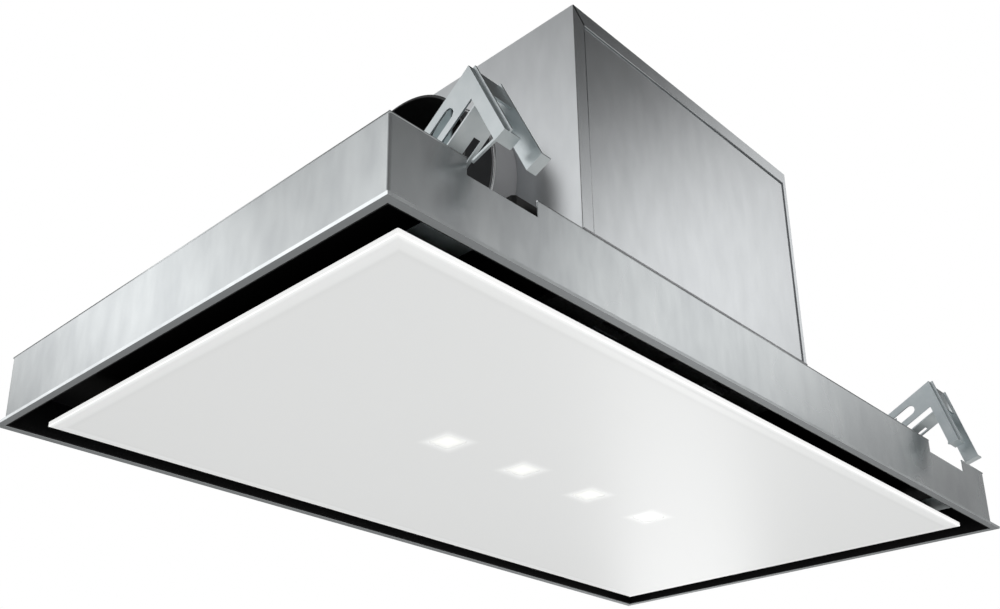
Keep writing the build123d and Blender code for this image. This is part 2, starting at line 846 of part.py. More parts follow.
def placed(shape, left, tilt, turn):
    """Turns an untilted clamp about its pivot and takes it to its place on the tray."""
    hung = Pos(0, -pivot_along, pivot_across) * shape
    return Rot(0, 0, turn) * Pos(left, pivot_y, pivot_z) * Rot(-tilt, 0, 0) * hung


def clamp_bases():
    """Brackets on the deck: a short ear inside each clamp, a tall one that guides its far side."""
    y, z = pivot_y, pivot_z
    x1 = clamp_width + 2 * body_gap + clamp_sheet
    y0, y1 = y - base_width_y / 2, y + base_width_y / 2
    bases = []
    for left, _, _, _, height, turn in clamp_places:
        top = deck_top + height
        base = block(base_x, x1, y0, y1, deck_top, deck_top + clamp_sheet)
        ear = block(base_x, base_x + clamp_sheet, y - base_cheek_r, y + base_cheek_r,
                    deck_top, z + base_cheek_r)
        base += chamfer(ear.edges().filter_by(Axis.X).group_by(Axis.Z)[-1], base_cheek_r / 2)
        guide = Polygon((y0, deck_top), (y1, deck_top), (y1, deck_top + guide_shoulder),
                        (y1 - guide_slant, max(top - guide_fall, deck_top + guide_shoulder)),
                        (y0, top), align=None)
        base += Pos(x1 - clamp_sheet, 0, 0) * extrude(Plane.YZ * guide, clamp_sheet)
        base -= flat_rod_x(base_x - 1, x1 + 1, y, z, bolt_r + body_gap, small_sides)
        bases.append(Rot(0, 0, turn) * Pos(left, 0, 0) * base)
    return group(bases)


def clamp_bolts():
    """Pivot bolts through clamps and bases, a head at one end and a nut at the other."""
    y, z = pivot_y, pivot_z
    end = clamp_width + 3 * body_gap + clamp_sheet
    bolts = []
    for left, _, _, _, _, turn in clamp_places:
        bolt = rod_x(-body_gap, end, y, z, bolt_r)
        for x in (-body_gap - bolt_head, end):
            bolt += flat_rod_x(x, x + bolt_head, y, z, bolt_head_r, 6)
        bolts.append(Rot(0, 0, turn) * Pos(left, 0, 0) * bolt)
    return group(bolts)


def base_screws():
    """Two hexagon screws in each clamp base."""
    top = deck_top + clamp_sheet
    heads = []
    for left, _, _, _, _, turn in clamp_places:
        for side in (-1, 1):
            spot = Pos(left + clamp_width / 2 + base_x, pivot_y + side * base_width_y / 3, 0)
            head = flat_disc(0, 0, top, top + screw_head, screw_head_r, 6)
            heads.append(Rot(0, 0, turn) * spot * head)
    return group(heads)


# ---------------------------------------------------------------- electrical pieces
def terminal_box():
    """Small covered terminal beside the motor box."""
    body = block(terminal_x, terminal_x + terminal_length, terminal_y,
                 terminal_y + terminal_width, deck_top, deck_top + terminal_height)
    return chamfer(body.edges().filter_by(Axis.Z), control_wall)


def control_box():
    """Open housing of the control electronics, with the hole for its gland."""
    x1 = control_x + control_length
    y1 = control_y + control_width
    top = deck_top + control_height
    body = block(control_x, x1, control_y, y1, deck_top, top)
    body = chamfer(body.edges().filter_by(Axis.Z), control_wall)
    body -= block(control_x + control_wall, x1 - control_wall, control_y + control_wall,
                  y1 - control_wall, deck_top + control_wall, top + 1)
    mid = (control_y + y1) / 2
    body -= flat_rod_x(x1 - 2 * control_wall, x1 + 1, mid, deck_top + gland_z,
                       gland_r + seat_gap, small_sides)
    return body


def control_lid():
    """Lid with a step that fits into the housing."""
    x1 = control_x + control_length
    y1 = control_y + control_width
    top = deck_top + control_height
    lid = block(control_x, x1, control_y, y1, top, top + lid_thickness)
    lid = chamfer(lid.edges().filter_by(Axis.Z), control_wall)
    inset = control_wall + seat_gap
    lid += block(control_x + inset, x1 - inset, control_y + inset, y1 - inset,
                 top - lid_thickness, top)
    return lid


def lid_screws():
    """Four hexagon screws on the lid."""
    top = deck_top + control_height + lid_thickness
    inset = 4 * control_wall
    mid_x = control_x + control_length / 2
    mid_y = control_y + control_width / 2
    places = GridLocations(control_length - 2 * inset, control_width - 2 * inset, 2, 2)
    head = flat_disc(0, 0, top, top + screw_head, screw_head_r, 6)
    return group(Pos(mid_x, mid_y, 0) * p * head for p in places)


def cable_gland():
    """Gland with a hexagon nut and a bore for the supply lead."""
    x1 = control_x + control_length
    mid = control_y + control_width / 2
    z = deck_top + gland_z
    gland = flat_rod_x(x1 - control_wall, x1 + gland_length, mid, z, gland_r, small_sides)
    gland += flat_rod_x(x1, x1 + gland_nut, mid, z, gland_nut_r, 6)
    return gland - rod_x(x1 - 2 * control_wall, x1 + gland_length + 1, mid, z, gland_bore_r)


def lead_grommet():
    """Rubber grommet in the deck for the lights' lead."""
    low, high = deck_bottom - sheet, deck_top + sheet
    ring = flat_disc(lead_hole_x, lead_hole_y, low, high, lead_hole_r - seat_gap, small_sides)
    return ring - flat_disc(lead_hole_x, lead_hole_y, low - 1, high + 1, lead_hole_r / 2,
                            small_sides)


def light_driver():
    """Driver of the lights with a fixing ear at each end."""
    x1 = driver_x + driver_length
    y1 = driver_y + driver_width
    body = block(driver_x, x1, driver_y, y1, deck_top, deck_top + driver_height)
    body = chamfer(body.edges().filter_by(Axis.Z), control_wall)
    ears = block(driver_x - driver_ear, x1 + driver_ear, driver_y + driver_width / 4,
                 y1 - driver_width / 4, deck_top, deck_top + driver_ear_height)
    return body + ears


# ---------------------------------------------------------------- nodes
nodes = {
    "tray_shell": tray_shell(),
    "tray_deck": tray_deck(),
    "inner_liner": inner_liner(),
    "liner_standoffs": liner_standoffs(),
    "glass_panel": glass_panel(),
    "panel_carrier": panel_carrier(),
    "light_lenses": light_lenses(),
    "light_modules": light_modules(),
    "hinge_pins": hinge_pins(),
    "hinge_brackets": hinge_brackets(),
    "catch_magnets": catch_magnets(),
    "catch_plates": catch_plates(),
    "motor_box": motor_box(),
    "box_cover": box_cover(),
    "box_screws": box_screws(),
    "outlet_spigot": outlet_spigot(),
    "stop_ring": stop_ring(),
    "damper_spindle": damper_spindle(),
    "damper_flap_1": damper_flap(-1),
    "damper_flap_2": damper_flap(1),
    "fan_scroll": fan_scroll(),
    "fan_mounts": fan_mounts(),
    "inlet_ring": inlet_ring(),
    "impeller": impeller(),
    "fan_shaft": fan_shaft(),
    "impeller_nut": impeller_nut(),
    "shaft_bush": shaft_bush(),
    "fan_motor": fan_motor(),
    "clamp_bases": clamp_bases(),
    "clamp_bolts": clamp_bolts(),
    "base_screws": base_screws(),
    "terminal_box": terminal_box(),
    "control_box": control_box(),
    "control_lid": control_lid(),
    "lid_screws": lid_screws(),
    "cable_gland": cable_gland(),
    "lead_grommet": lead_grommet(),
    "light_driver": light_driver(),
}
for number, centre in enumerate(filter_centres(), start=1):
    nodes[f"filter_frame_{number}"] = filter_frame(centre)
    nodes[f"filter_mesh_{number}"] = filter_mesh(centre)
    nodes[f"filter_latch_{number}"] = filter_latch(centre)
for number, (left, _, tilt, reach, _, turn) in enumerate(clamp_places, start=1):
    nodes[f"clamp_{number}"] = placed(clamp_shape(reach), left, tilt, turn)

os.makedirs("parts", exist_ok=True)
for name, solid in nodes.items():
    export_step(solid, f"parts/{name}.step")
    print(name, len(solid.solids()), "solids", round(solid.volume), "mm3")
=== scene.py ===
"""A ceiling range hood dressed for its picture: tray, white glass panel, motor box and clamps.

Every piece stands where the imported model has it, in metres. Run as a script; nothing is installed.
"""

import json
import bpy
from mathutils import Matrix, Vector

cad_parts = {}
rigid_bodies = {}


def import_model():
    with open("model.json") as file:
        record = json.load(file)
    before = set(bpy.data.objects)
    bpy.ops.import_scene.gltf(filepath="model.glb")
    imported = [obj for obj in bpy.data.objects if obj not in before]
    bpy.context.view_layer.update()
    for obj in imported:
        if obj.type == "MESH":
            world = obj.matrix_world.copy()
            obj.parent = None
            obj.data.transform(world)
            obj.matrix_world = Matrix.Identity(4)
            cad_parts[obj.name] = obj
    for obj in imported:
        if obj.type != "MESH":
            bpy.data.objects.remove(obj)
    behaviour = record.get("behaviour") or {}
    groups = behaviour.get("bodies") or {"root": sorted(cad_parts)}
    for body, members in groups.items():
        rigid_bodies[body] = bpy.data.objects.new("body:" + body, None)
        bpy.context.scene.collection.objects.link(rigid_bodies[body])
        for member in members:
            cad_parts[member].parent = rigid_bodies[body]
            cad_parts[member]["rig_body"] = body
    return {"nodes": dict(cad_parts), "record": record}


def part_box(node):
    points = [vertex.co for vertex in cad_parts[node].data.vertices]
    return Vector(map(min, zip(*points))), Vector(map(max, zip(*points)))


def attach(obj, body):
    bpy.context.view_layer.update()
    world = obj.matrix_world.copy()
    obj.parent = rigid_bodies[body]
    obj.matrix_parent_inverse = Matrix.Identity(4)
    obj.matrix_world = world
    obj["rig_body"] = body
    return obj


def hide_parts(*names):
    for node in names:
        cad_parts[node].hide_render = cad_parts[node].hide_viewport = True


bl_info = {
    "name": "Ceiling range hood",
    "version": (1, 0, 0),
    "blender": (4, 5, 0),
    "location": "3D View > Sidebar > Hood",
    "description": "Builds the visible pieces of a ceiling range hood on its packed model",
    "category": "Object",
}

from math import cos, pi, radians, sin, tau

import bmesh
import bpy
from bpy.props import FloatProperty, FloatVectorProperty, IntProperty, PointerProperty
from mathutils import Matrix, Vector

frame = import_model()
NODES = frame["nodes"]
MM = 0.001
WELD = 2e-6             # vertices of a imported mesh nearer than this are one
FACE_ANGLE = 32         # degrees; turned pieces are shaded smooth below it

GLASS_CLIP = 3 * MM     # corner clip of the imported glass
GLASS_CORNER = 0.8 * MM  # corner clip the glass is finished with
LAMP_REACH = 23 * MM    # how far a lamp lights the print round it
LAMP_GLOW = 0.38        # how brightly it does so at its middle


# ---------------------------------------------------------------- colours and nodes
def linear(hex_colour):
    """Linear RGBA of an sRGB hex colour."""
    value = hex_colour.lstrip("#")
    channels = [int(value[i:i + 2], 16) / 255 for i in (0, 2, 4)]
    return [c / 12.92 if c <= 0.04045 else ((c + 0.055) / 1.055) ** 2.4 for c in channels] + [1.0]


def add(tree, kind, inputs=None, **settings):
    """Adds a node; an input takes a value, or the socket that feeds it."""
    node = tree.nodes.new(kind)
    for key, value in settings.items():
        setattr(node, key, value)
    for key, value in (inputs or {}).items():
        if isinstance(value, bpy.types.NodeSocket):
            tree.links.new(value, node.inputs[key])
        else:
            node.inputs[key].default_value = value
    return node


def start_material(name, **values):
    """A material with a Principled shader set to plain values."""
    made = bpy.data.materials.new(name)
    made.use_nodes = True
    made.node_tree.nodes.clear()
    shader = add(made.node_tree, "ShaderNodeBsdfPrincipled")
    for key, value in values.items():
        shader.inputs[key.replace("_", " ")].default_value = value
    add(made.node_tree, "ShaderNodeOutputMaterial", {"Surface": shader.outputs[0]})
    place = add(made.node_tree, "ShaderNodeTexCoord").outputs["Object"]
    return made, made.node_tree, shader, place


def ramp(tree, factor, *stops):
    """A colour ramp through (position, colour) stops."""
    node = add(tree, "ShaderNodeValToRGB", {"Fac": factor})
    band = node.color_ramp.elements
    while len(band) < len(stops):
        band.new(0.5)
    for element, (position, colour) in zip(band, stops):
        element.position = position
        element.color = linear(colour)
    return node.outputs["Color"]


def waver(tree, place, scale, detail):
    """Smooth noise, about scale waves to the metre."""
    return add(tree, "ShaderNodeTexNoise", {"Vector": place, "Scale": scale, "Detail": detail})


def mottled(name, dark, light, scale, detail, **values):
    """A material whose colour wavers between two tones; gives the noise of the colour as well."""
    made, tree, shader, place = start_material(name, **values)
    noise = waver(tree, place, scale, detail).outputs["Fac"]
    colour = ramp(tree, noise, (0.3, dark), (0.7, light))
    tree.links.new(colour, shader.inputs["Base Color"])
    return made, tree, shader, noise, place


def roughen(tree, shader, height, strength, depth):
    """Fine relief from a pattern of heights."""
    relief = add(tree, "ShaderNodeBump", {"Height": height, "Strength": strength,
                                          "Distance": depth})
    tree.links.new(relief.outputs[0], shader.inputs["Normal"])


# ---------------------------------------------------------------- finishes
def facing_left_and_down(tree):
    """Two sockets, 1 where a face looks to the left or down and 0 where it doesn't."""
    facing = add(tree, "ShaderNodeTexCoord").outputs["Normal"]
    facing = add(tree, "ShaderNodeSeparateXYZ", {"Vector": facing}).outputs
    return [add(tree, "ShaderNodeMapRange", {
        "Value": facing[axis], "From Min": -0.97, "From Max": -0.8, "To Min": 1.0,
        "To Max": 0.0}).outputs[0] for axis in "XZ"]


def galvanised(name, light, dark, mottle_mm, rough, side_rough, lean):
    """Hot-dip galvanised sheet, rolled smooth: a pale grey with soft clouds and faint blotches that
    run up the sheet. Faces that look down, or to the left, have a gloss of their own. Faces that
    look down are also painted a darker grey: a painted shade."""
    made, tree, shader, place = start_material(name, Metallic=1.0)
    drawn = add(tree, "ShaderNodeMapping", {"Vector": place, "Scale": (1.0, 1.0, 0.4)})
    blotch = waver(tree, drawn.outputs[0], 1000.0 / mottle_mm, 2.0)
    cloud = waver(tree, place, 12.0, 2.0)
    grit = waver(tree, place, 700.0, 2.0)
    total = add(tree, "ShaderNodeMath", {0: blotch.outputs["Fac"], 1: 0.9}, operation="MULTIPLY")
    for socket, share in ((cloud.outputs["Fac"], 0.8), (grit.outputs["Fac"], 0.1)):
        total = add(tree, "ShaderNodeMath", {0: socket, 1: share, 2: total.outputs[0]},
                    operation="MULTIPLY_ADD")
    level = add(tree, "ShaderNodeMapRange", {"Value": total.outputs[0], "From Min": 0.58,
                                             "From Max": 1.22})
    colour = ramp(tree, level.outputs[0], (0.0, dark), (1.0, light))
    left, below = facing_left_and_down(tree)
    # painted shade: faces that look down take a darker grey (#A0A3A5) in place of the sheet's own
    # tone
    colour = add(tree, "ShaderNodeMix", {0: below, 6: colour, 7: linear("#A0A3A5")},
                 data_type="RGBA").outputs[2]
    tree.links.new(colour, shader.inputs["Base Color"])
    gloss = add(tree, "ShaderNodeMapRange", {"Value": cloud.outputs["Fac"], "To Min": rough - 0.02,
                                             "To Max": rough + 0.02})
    gloss = add(tree, "ShaderNodeMix", {0: left, 2: gloss.outputs[0], 3: side_rough})
    gloss = add(tree, "ShaderNodeMix", {0: below, 2: gloss.outputs[0], 3: 0.5})
    tree.links.new(gloss.outputs[0], shader.inputs["Roughness"])
    off = add(tree, "ShaderNodeVectorMath", {0: blotch.outputs["Color"], 1: (0.5,) * 3},
              operation="SUBTRACT")
    flat = add(tree, "ShaderNodeNewGeometry").outputs["Normal"]
    off = add(tree, "ShaderNodeVectorMath", {0: off.outputs[0], 1: (lean,) * 3, 2: flat},
              operation="MULTIPLY_ADD")
    even = add(tree, "ShaderNodeVectorMath", {0: off.outputs[0]}, operation="NORMALIZE")
    tree.links.new(even.outputs[0], shader.inputs["Normal"])
    return made


def zinc(name, dark, light, rough):
    """Zinc plating with a blue passivation: bluish grey, softly glossy, with fine press marks."""
    made, tree, shader, noise, _ = mottled(name, dark, light, 60.0, 3.0, Metallic=1.0)
    gloss = add(tree, "ShaderNodeMapRange", {"Value": noise, "To Min": rough - 0.03,
                                             "To Max": rough + 0.03})
    tree.links.new(gloss.outputs[0], shader.inputs["Roughness"])
    return made


def powder_coat():
    """Black polyester powder coat: nearly black, its shine broken by a fine orange-peel skin."""
    made, tree, shader, peel, _ = mottled("Black powder coated steel", "#040405", "#0B0B0C", 700.0,
                                          2.0, IOR=1.5, Roughness=0.55, Specular_IOR_Level=0.2)
    roughen(tree, shader, peel, 0.25, 0.3 * MM)
    return made


def rim_distance(tree, place):
    """Distance inwards from the edge of the glass, its clipped corners included, in metres."""
    low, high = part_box("glass_panel")
    part = add(tree, "ShaderNodeSeparateXYZ", {"Vector": place})
    insides = []
    for axis in (0, 1):
        middle, half = (low[axis] + high[axis]) / 2, (high[axis] - low[axis]) / 2
        off = add(tree, "ShaderNodeMath", {0: part.outputs[axis], 1: middle}, operation="SUBTRACT")
        off = add(tree, "ShaderNodeMath", {0: off.outputs[0]}, operation="ABSOLUTE")
        inside = add(tree, "ShaderNodeMath", {0: half, 1: off.outputs[0]}, operation="SUBTRACT")
        insides.append(inside.outputs[0])
    both = add(tree, "ShaderNodeMath", {0: insides[0], 1: insides[1]})
    across = add(tree, "ShaderNodeMath", {0: both.outputs[0], 1: 0.7071, 2: -0.7071 * GLASS_CORNER},
                 operation="MULTIPLY_ADD")
    rim = add(tree, "ShaderNodeMath", {0: insides[0], 1: insides[1]}, operation="MINIMUM")
    return add(tree, "ShaderNodeMath", {0: rim.outputs[0], 1: across.outputs[0]},
               operation="MINIMUM").outputs[0]


def printed_glass():
    """Toughened glass printed white on its back: an even, faintly cool white under a polished face.
    A band along the rim is painted paler than the middle, and the edge and that band are made to
    glow: a painted highlight of the rim. Some 15 mm in, the colour dips a touch darker."""
    made, tree, shader, place = start_material("White back-printed glass", IOR=1.52, Roughness=0.3)
    rim = rim_distance(tree, place)
    tone = waver(tree, place, 3.0, 1.0)
    tone = add(tree, "ShaderNodeMath", {0: tone.outputs["Fac"], 1: 0.004, 2: rim},
               operation="MULTIPLY_ADD")
    level = add(tree, "ShaderNodeMapRange", {"Value": tone.outputs[0], "From Min": 0.0,
                                             "From Max": 0.02})
    # the palest stops lie at the rim, a painted highlight along the edge; about 15 mm in, the colour
    # dips slightly darker
    colour = ramp(tree, level.outputs[0], (0.0, "#FAFBFB"), (0.12, "#F1F2F2"), (0.62, "#EEEFEF"),
                  (0.78, "#E4E5E5"), (1.0, "#E7E8E8"))
    tree.links.new(colour, shader.inputs["Base Color"])
    glow = lamp_glow(tree, place)
    # painted glow: the edge and a band a few millimetres wide along it emit light
    for start, end, strength in ((0.4 * MM, 0.7 * MM, 0.7), (1 * MM, 4 * MM, 0.15)):
        rim_painted_glow = add(tree, "ShaderNodeMapRange", {"Value": rim, "From Min": start, "From Max": end,
                                                  "To Min": strength, "To Max": 0.0})
        glow = add(tree, "ShaderNodeMath", {0: glow, 1: rim_painted_glow.outputs[0]},
                   operation="MAXIMUM").outputs[0]
    tree.links.new(glow, shader.inputs["Emission Strength"])
    shader.inputs["Emission Color"].default_value = linear("#FFFFFE")
    return made


def lamp_distance(tree, place):
    """Distance in metres from the middle of the nearest lamp, measured squarely like its lens."""
    low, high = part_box("light_lenses")
    pitch = (high.x - low.x - (high.y - low.y)) / 3
    part = add(tree, "ShaderNodeSeparateXYZ", {"Vector": place})
    near = add(tree, "ShaderNodeMath", {0: part.outputs["X"], 1: -2 * pitch}, operation="MAXIMUM")
    near = add(tree, "ShaderNodeMath", {0: near.outputs[0], 1: 2 * pitch}, operation="MINIMUM")
    along = add(tree, "ShaderNodeMath", {0: near.outputs[0], 1: pitch, 2: 0.0}, operation="WRAP")
    along = add(tree, "ShaderNodeMath", {0: along.outputs[0], 1: pitch / 2}, operation="SUBTRACT")
    along = add(tree, "ShaderNodeMath", {0: along.outputs[0]}, operation="ABSOLUTE")
    across = add(tree, "ShaderNodeMath", {0: part.outputs["Y"]}, operation="ABSOLUTE")
    return add(tree, "ShaderNodeMath", {0: along.outputs[0], 1: across.outputs[0], 2: 6 * MM},
               operation="SMOOTH_MAX").outputs[0]


def lamp_glow(tree, place):
    """Strength of the light that the nearest lamp gives to this spot."""
    return add(tree, "ShaderNodeMapRange",
               {"Value": lamp_distance(tree, place), "From Min": 0.0, "From Max": LAMP_REACH,
                "To Min": LAMP_GLOW, "To Max": 0.0}, interpolation_type="SMOOTHSTEP").outputs[0]


def frosted_lens():
    """Frosted acrylic over light-emitting diodes, set flush in the print: brightest in the middle,
    and as pale as the glass at the rim."""
    made, tree, shader, place = start_material("Frosted acrylic lens", IOR=1.52, Roughness=0.2,
                                               Base_Color=linear("#E7E8E8"))
    tree.links.new(lamp_glow(tree, place), shader.inputs["Emission Strength"])
    shader.inputs["Emission Color"].default_value = linear("#FFFFF4")
    return made


def cast_aluminium():
    """Die-cast or rolled aluminium: soft grey metal with a fine matt skin."""
    made, tree, shader, skin, _ = mottled("Aluminium", "#B4B7BA", "#CBCED0", 450.0, 3.0,
                                          Metallic=1.0, Roughness=0.42)
    roughen(tree, shader, skin, 0.15, 0.3 * MM)
    return made


def moulded(name, dark, light, rough):
    """Moulded plastic with a fine spark-eroded texture, slightly uneven in tone."""
    made, tree, shader, _, place = mottled(name, dark, light, 25.0, 2.0, IOR=1.5, Roughness=rough)
    roughen(tree, shader, waver(tree, place, 1200.0, 2.0).outputs["Fac"], 0.2, 0.2 * MM)
    return made


def turned_metal(name, dark, light, rough):
    """Turned steel or sintered bronze with fine tool marks."""
    made, tree, shader, marks, _ = mottled(name, dark, light, 800.0, 2.0, Metallic=1.0,
                                           Roughness=rough)
    roughen(tree, shader, marks, 0.1, 0.2 * MM)
    return made


FINISHES = {
    "galvanised_sheet": galvanised("Galvanised steel sheet", "#DADEDF", "#C4C8CA", 18.0, 0.27, 0.24,
                                   0.015),
    "box_sheet": galvanised("Galvanised steel sheet, fine grain", "#D9DCDE", "#CDD0D2", 14.0, 0.25,
                            0.29, 0.006),
    "zinc_plated_steel": zinc("Bright zinc plated steel", "#D6DEE0", "#E4EAEC", 0.34),
    # painted shade: a darker copy of the zinc, standing in for the shade on the clamp bases behind
    # the clamps
    "dull_zinc_painted_shade": zinc("Dull zinc plated steel, painted shade", "#7F8D90", "#93A0A3", 0.42),
    # painted highlight: the stop ring's zinc is painted paler than the clamps' so that the ring
    # shows as a bright line
    "ring_zinc_painted_highlight": zinc("Zinc plated ring, painted highlight", "#EEF1F2", "#F6F7F8", 0.2),
    "black_painted_steel": powder_coat(),
    "white_glass": printed_glass(),
    "frosted_lens": frosted_lens(),
    "aluminium": cast_aluminium(),
    "dark_plastic": moulded("Dark grey moulded plastic", "#2B2C2E", "#38393B", 0.4),
    "collar_plastic": moulded("Grey moulded plastic", "#C6C7CA", "#D0D1D4", 0.4),
    "black_plastic": moulded("Black moulded plastic", "#0B0B0C", "#121213", 0.5),
    "white_plastic": moulded("White moulded plastic", "#D3D4D1", "#E2E2DE", 0.45),
    "steel": turned_metal("Turned steel", "#8D9092", "#B2B4B6", 0.3),
    "brass": turned_metal("Sintered bronze", "#8C6A33", "#B08A4A", 0.45),
    "rubber": moulded("Black rubber", "#0C0C0C", "#151515", 0.75),
    "motor_paint": moulded("Dark enamel paint", "#232527", "#2E3032", 0.35),
}
SLOT_OF = {part["node"]: part["material_slot"] for part in frame["record"]["subparts"]}
BOX_SHEETS = ("motor_box", "box_cover")


# ---------------------------------------------------------------- mesh helpers
def show(name, mesh, body, slot, replaces=(), finish=None):
    """Links a finished mesh as a piece that rides on a body."""
    piece = bpy.data.objects.new(name, mesh)
    bpy.context.scene.collection.objects.link(piece)
    mesh.materials.clear()
    mesh.materials.append(FINISHES[finish or slot])
    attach(piece, body)
    if replaces:
        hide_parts(*replaces)
    return piece


def body_of(node):
    return NODES[node]["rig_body"]


def welded(node):
    """A working copy of a node's mesh whose faces share their corners."""
    shape = bmesh.new()
    shape.from_mesh(NODES[node].data)
    bmesh.ops.remove_doubles(shape, verts=shape.verts, dist=WELD)
    return shape


def merged(node):
    """A clean working copy of a node's mesh, with its flat faces joined up."""
    shape = welded(node)
    bmesh.ops.dissolve_limit(shape, angle_limit=radians(0.5), verts=shape.verts,
                             edges=shape.edges)
    return shape


def kept(shape, name):
    """The mesh that a working copy has become."""
    mesh = bpy.data.meshes.new(name)
    shape.to_mesh(mesh)
    shape.free()
    return mesh


def rounded(shape, edges, radius, steps):
    """Rounds edges in place."""
    bmesh.ops.bevel(shape, geom=edges, offset=radius, offset_type="OFFSET", segments=steps,
                    profile=0.5, affect="EDGES", clamp_overlap=True)


def upright_corners(shape, node, reach=30 * MM, shortest=40 * MM):
    """The long upright outer edges within reach of a node's left and right ends."""
    low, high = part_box(node)
    found = []
    for edge in shape.edges:
        start, end = (v.co for v in edge.verts)
        length = edge.calc_length()
        near = all(min(abs(p.x - low.x), abs(p.x - high.x)) < reach for p in (start, end))
        if near and length > shortest and abs(start.z - end.z) > 0.99 * length and edge.is_convex:
            found.append(edge)
    return found


def softened(node, width_mm, steps=2, angle=28, finish=None, bend_mm=None):
    """Replaces a node by the same shape with the small edge radii that bending or moulding leaves,
    and a wider bend on its outermost upright corners if one is given."""
    shape = merged(node)
    if bend_mm:
        rounded(shape, upright_corners(shape, node), bend_mm * MM, 5)
    sharp = [e for e in shape.edges if len(e.link_faces) == 2
             and e.calc_face_angle(0) > radians(angle)]
    rounded(shape, sharp, width_mm * MM, steps)
    mesh = kept(shape, node + "_formed")
    finish = finish or ("box_sheet" if node in BOX_SHEETS else SLOT_OF[node])
    return show(mesh.name, mesh, body_of(node), SLOT_OF[node], (node,), finish)


def turned(profile, centre, axis, steps=96):
    """A closed ring turned from (along, radius) points round an axis through centre."""
    shape = bmesh.new()
    points = [shape.verts.new((radius, 0.0, along)) for along, radius in profile]
    edges = [shape.edges.new((a, b)) for a, b in zip(points, points[1:] + points[:1])]
    bmesh.ops.spin(shape, geom=points + edges, cent=(0, 0, 0), axis=(0, 0, 1), angle=tau,
                   steps=steps, use_merge=True)
    bmesh.ops.remove_doubles(shape, verts=shape.verts, dist=1e-6)
    lone = [f for f in shape.faces if f.calc_area() < 1e-12]
    bmesh.ops.delete(shape, geom=lone, context="FACES")
    bmesh.ops.recalc_face_normals(shape, faces=shape.faces)
    turn = Vector((0, 0, 1)).rotation_difference(Vector(axis)).to_matrix().to_4x4()
    bmesh.ops.transform(shape, matrix=Matrix.Translation(centre) @ turn, verts=shape.verts)
    mesh = kept(shape, "ring")
    for face in mesh.polygons:
        face.use_smooth = True
    mesh.set_sharp_from_angle(angle=radians(FACE_ANGLE))
    return mesh


def bead(name, runs, radius, body, slot, finish=None):
    """A piece of round rods, one along each (start, end) run: a rolled edge or a joint line."""
    shape = bmesh.new()
    for start, end in runs:
        along = Vector(end) - Vector(start)
        turn = along.to_track_quat("Z", "Y").to_matrix().to_4x4()
        bmesh.ops.create_cone(shape, cap_ends=True, segments=16, radius1=radius, radius2=radius,
                              depth=along.length,
                              matrix=Matrix.Translation((Vector(start) + Vector(end)) / 2) @ turn)
    mesh = kept(shape, name)
    for face in mesh.polygons:
        face.use_smooth = len(face.vertices) == 4  # the round side, not the caps
    return show(name, mesh, body, slot, finish=finish)


def islands(node):
    """(lowest corner, highest corner) of each separate solid of a node."""
    shape = welded(node)
    waiting = set(shape.verts)
    found = []
    while waiting:
        stack = [waiting.pop()]
        group = []
        while stack:
            vertex = stack.pop()
            group.append(vertex.co.copy())
            for edge in vertex.link_edges:
                other = edge.other_vert(vertex)
                if other in waiting:
                    waiting.remove(other)
                    stack.append(other)
        found.append((Vector([min(p[i] for p in group) for i in range(3)]),
                      Vector([max(p[i] for p in group) for i in range(3)])))
    shape.free()
    return sorted(found, key=lambda pair: tuple(pair[0]))


# ---------------------------------------------------------------- Geometry Nodes helpers
def start_tree(name, sockets):
    """A geometry tree with a named input for each size."""
    tree = bpy.data.node_groups.new(name, "GeometryNodeTree")
    tree.interface.new_socket("Geometry", in_out="INPUT", socket_type="NodeSocketGeometry")
    for label, value in sockets:
        socket = tree.interface.new_socket(label, in_out="INPUT", socket_type="NodeSocketFloat")
        socket.default_value = value
    tree.interface.new_socket("Material", in_out="INPUT", socket_type="NodeSocketMaterial")
    tree.interface.new_socket("Geometry", in_out="OUTPUT", socket_type="NodeSocketGeometry")
    return tree, add(tree, "NodeGroupInput").outputs


def end_tree(tree, geometry, given):
    """Ends a tree with real geometry and its material."""
    real = add(tree, "GeometryNodeRealizeInstances", {0: geometry})
    finish = add(tree, "GeometryNodeSetMaterial", {0: real.outputs[0],
                                                   "Material": given["Material"]})
    add(tree, "NodeGroupOutput", {0: finish.outputs[0]})


def grown(name, mesh, tree, body, slot, replaces=(), **sizes):
    """Runs a tree on a mesh and keeps the result as a plain piece."""
    piece = bpy.data.objects.new(name, mesh)
    bpy.context.scene.collection.objects.link(piece)
    modifier = piece.modifiers.new("shape", "NODES")
    modifier.node_group = tree
    for item in tree.interface.items_tree:
        if item.in_out == "INPUT" and item.name in sizes:
            modifier[item.identifier] = sizes[item.name]
        if item.in_out == "INPUT" and item.name == "Material":
            modifier[item.identifier] = FINISHES[slot]
    seen = bpy.context.evaluated_depsgraph_get()
    result = bpy.data.meshes.new_from_object(piece.evaluated_get(seen))
    piece.modifiers.clear()
    bpy.data.objects.remove(piece)
    result.name = name
    return show(name, result, body, slot, replaces)


